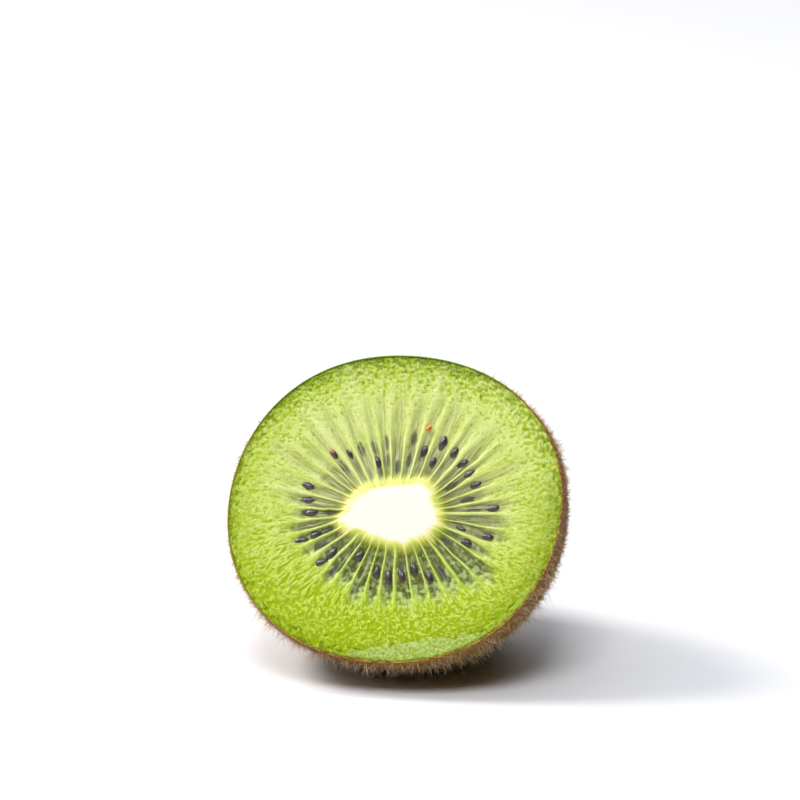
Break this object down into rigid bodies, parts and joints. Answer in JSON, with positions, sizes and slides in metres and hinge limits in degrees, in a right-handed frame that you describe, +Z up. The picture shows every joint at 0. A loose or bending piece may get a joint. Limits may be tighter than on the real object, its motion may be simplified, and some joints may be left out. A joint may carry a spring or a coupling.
{
  "type": "kiwi fruit half",
  "caption": "Half a kiwi fruit cut across its middle, lying on its furry side with the green cut face leaning back.",
  "frame": {"origin": "middle of the small flat spot on the flank that the half rests on", "axes": "+Z up; the cut face looks along -Y and leans back so that its normal rises 27 degrees; +X is to the right of the cut face"},
  "size_m": [0.0508, 0.0435, 0.0471],
  "materials": {
    "flesh": "wet translucent green fruit flesh"
  },
  "bodies": {
    "root": {"kiwi_half": "flesh"}
  },
  "joints": []
}
